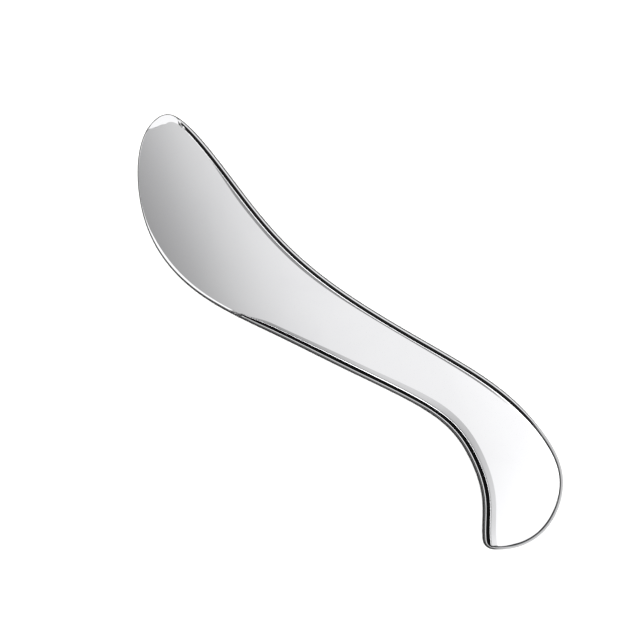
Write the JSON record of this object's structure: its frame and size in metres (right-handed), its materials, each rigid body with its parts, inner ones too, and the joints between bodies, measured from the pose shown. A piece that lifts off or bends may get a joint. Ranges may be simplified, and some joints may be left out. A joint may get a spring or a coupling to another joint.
{
  "type": "gua sha scraper",
  "caption": "One-piece polished steel gua sha scraper with a broad curved blade, a waisted handle with rounded grip edges, and a hooked end.",
  "frame": {"origin": "on the flat rear face, under the middle of the outline's box", "axes": "+X from the nose of the blade to the outside of the hook, +Y across the tool towards its back, +Z out of the polished front face"},
  "size_m": [0.205, 0.0586, 0.005],
  "materials": {
    "polished_steel": "mirror polished stainless steel"
  },
  "bodies": {
    "root": {"scraper_body": "polished_steel"}
  },
  "joints": []
}
